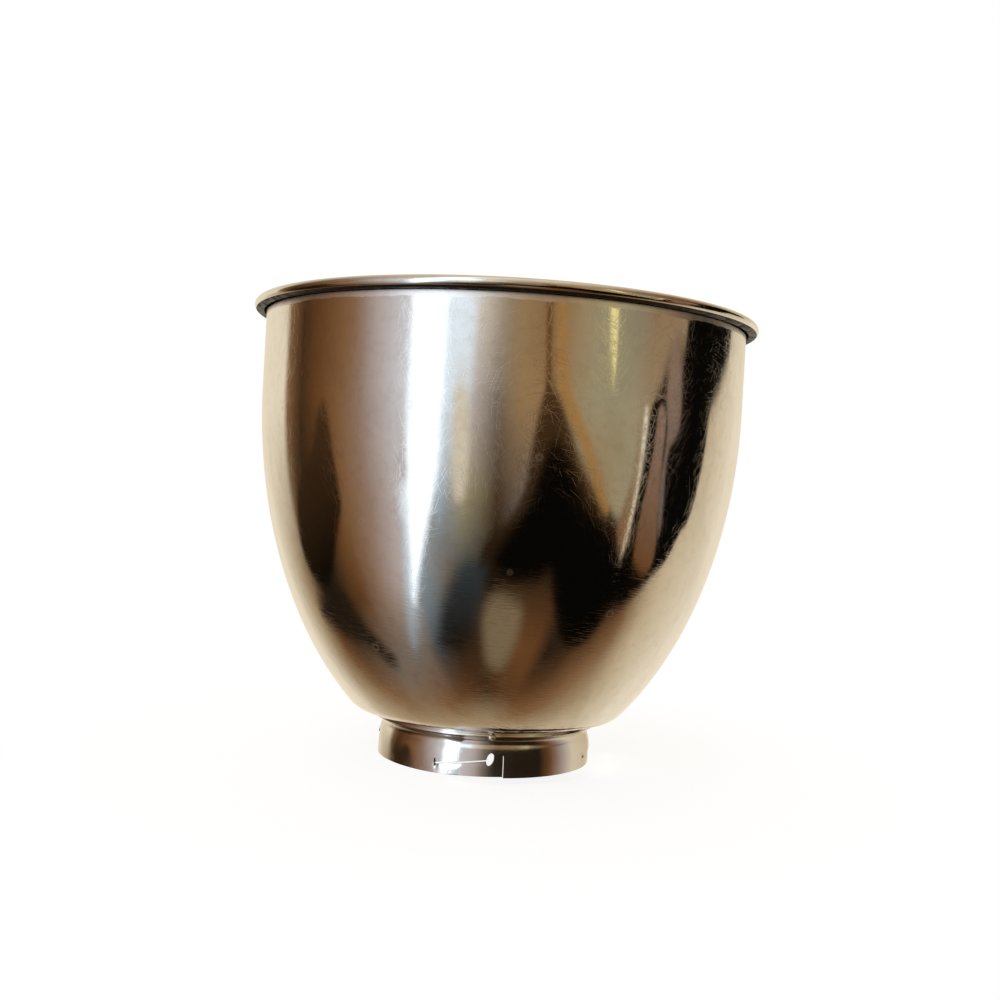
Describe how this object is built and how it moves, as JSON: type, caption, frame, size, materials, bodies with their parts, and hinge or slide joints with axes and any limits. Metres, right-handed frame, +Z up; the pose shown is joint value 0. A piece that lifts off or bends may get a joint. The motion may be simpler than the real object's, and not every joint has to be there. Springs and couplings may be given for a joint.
{
  "type": "stand mixer bowl",
  "caption": "Deep polished steel mixing bowl with a rolled rim, on a short twist-lock base ring with pressed locking tabs, for a tilt-head stand mixer.",
  "frame": {"origin": "centre of the base ring's foot, on the surface that the bowl stands on", "axes": "+Z up the bowl's axis, -Y to the front, where the first locking tab's hole and tack weld are"},
  "size_m": [0.219, 0.219, 0.1925],
  "materials": {
    "bowl_steel": "mirror polished outside, worn with fine scratches, wipe marks and water spots",
    "ring_steel": "polished pressed sheet, slightly rougher at the cut edges",
    "weld_steel": "bare weld metal, satin"
  },
  "bodies": {
    "root": {"bowl_shell": "bowl_steel", "base_ring": "ring_steel", "tack_weld_front": "weld_steel", "tack_weld_right": "weld_steel", "tack_weld_back": "weld_steel", "tack_weld_left": "weld_steel"}
  },
  "joints": []
}
